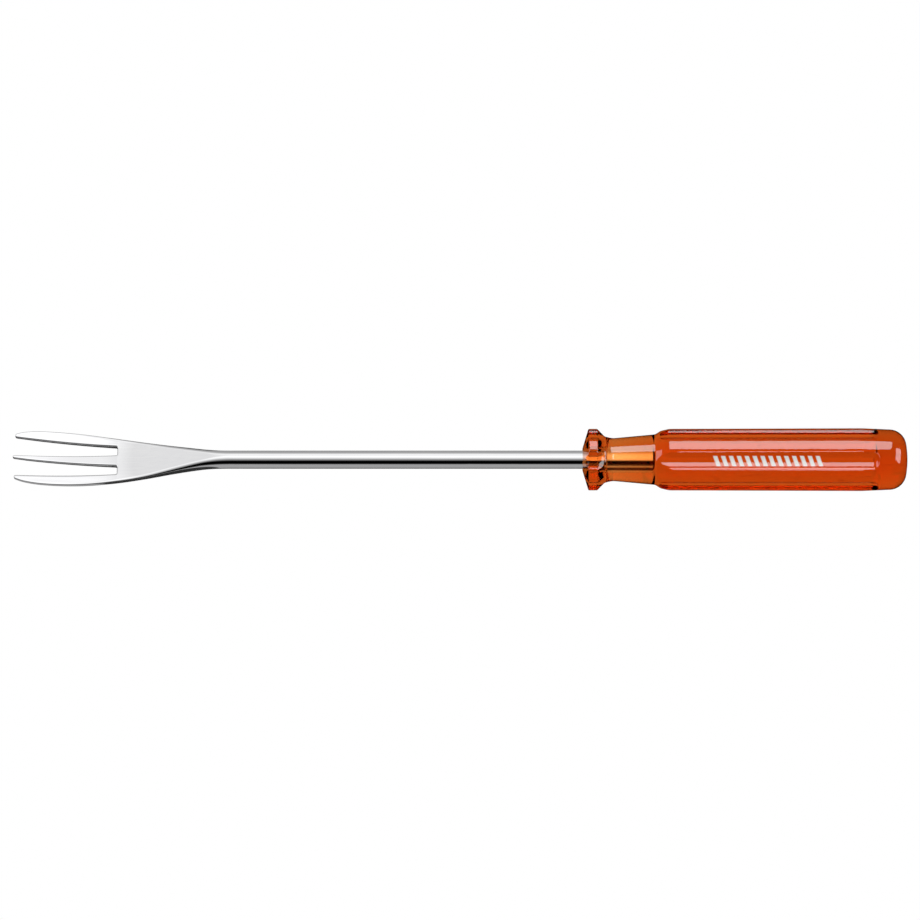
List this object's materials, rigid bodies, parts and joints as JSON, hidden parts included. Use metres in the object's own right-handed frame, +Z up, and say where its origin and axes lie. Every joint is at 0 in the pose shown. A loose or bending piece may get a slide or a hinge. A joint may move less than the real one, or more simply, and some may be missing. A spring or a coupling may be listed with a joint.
{
  "type": "uncapping fork",
  "caption": "Long beekeeping fork with flat forged tines on a round polished shaft and a fluted translucent orange handle with a front collar.",
  "frame": {"origin": "under the middle of the tool's length, on the centre line, level with the lowest line of the handle that it rests on", "axes": "+X from the tines to the butt of the handle, along the shaft; +Z up, out of the hollow face of the fork"},
  "size_m": [0.2952, 0.0202, 0.0207],
  "materials": {
    "polished_steel": "forged steel, polished and bright chrome plated",
    "orange_plastic": "clear orange-red cellulose plastic, polished, translucent",
    "white_print": "thin white print"
  },
  "bodies": {
    "root": {"fork_blade": "polished_steel", "handle": "orange_plastic", "handle_print": "white_print"}
  },
  "joints": []
}
